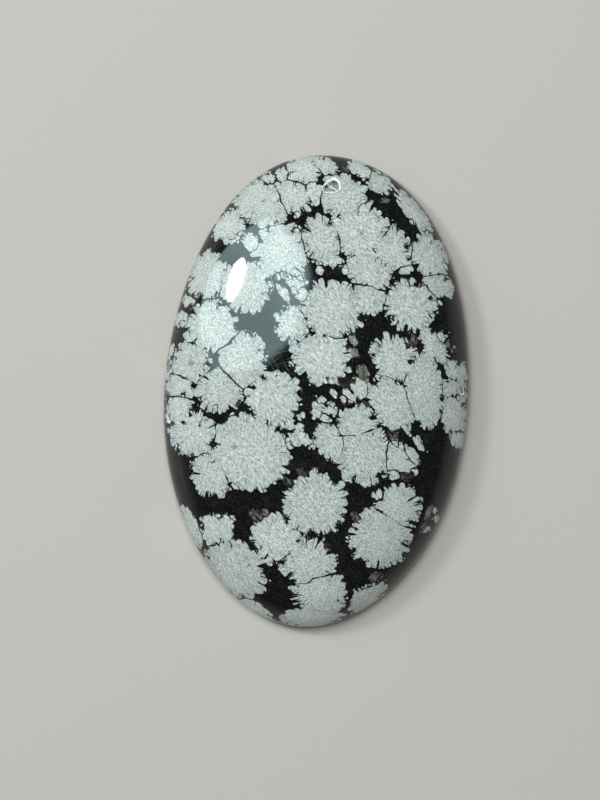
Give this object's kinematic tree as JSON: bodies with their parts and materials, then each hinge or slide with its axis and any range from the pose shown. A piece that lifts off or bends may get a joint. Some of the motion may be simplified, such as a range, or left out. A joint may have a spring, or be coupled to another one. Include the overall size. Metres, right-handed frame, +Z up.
{
  "type": "snowflake obsidian cabochon",
  "caption": "Oval domed cabochon of polished black obsidian with pale grey snowflake crystals, rests on its flat back.",
  "frame": {"origin": "centre of the flat back, at the middle of the oval", "axes": "+Y along the long axis towards the end with the chip, +Z up through the dome, away from the flat back"},
  "size_m": [0.0296, 0.0458, 0.0074],
  "materials": {
    "snowflake_obsidian": "high gloss polish, black glass with pale grey crystal flakes"
  },
  "bodies": {
    "root": {"cabochon": "snowflake_obsidian"}
  },
  "joints": []
}
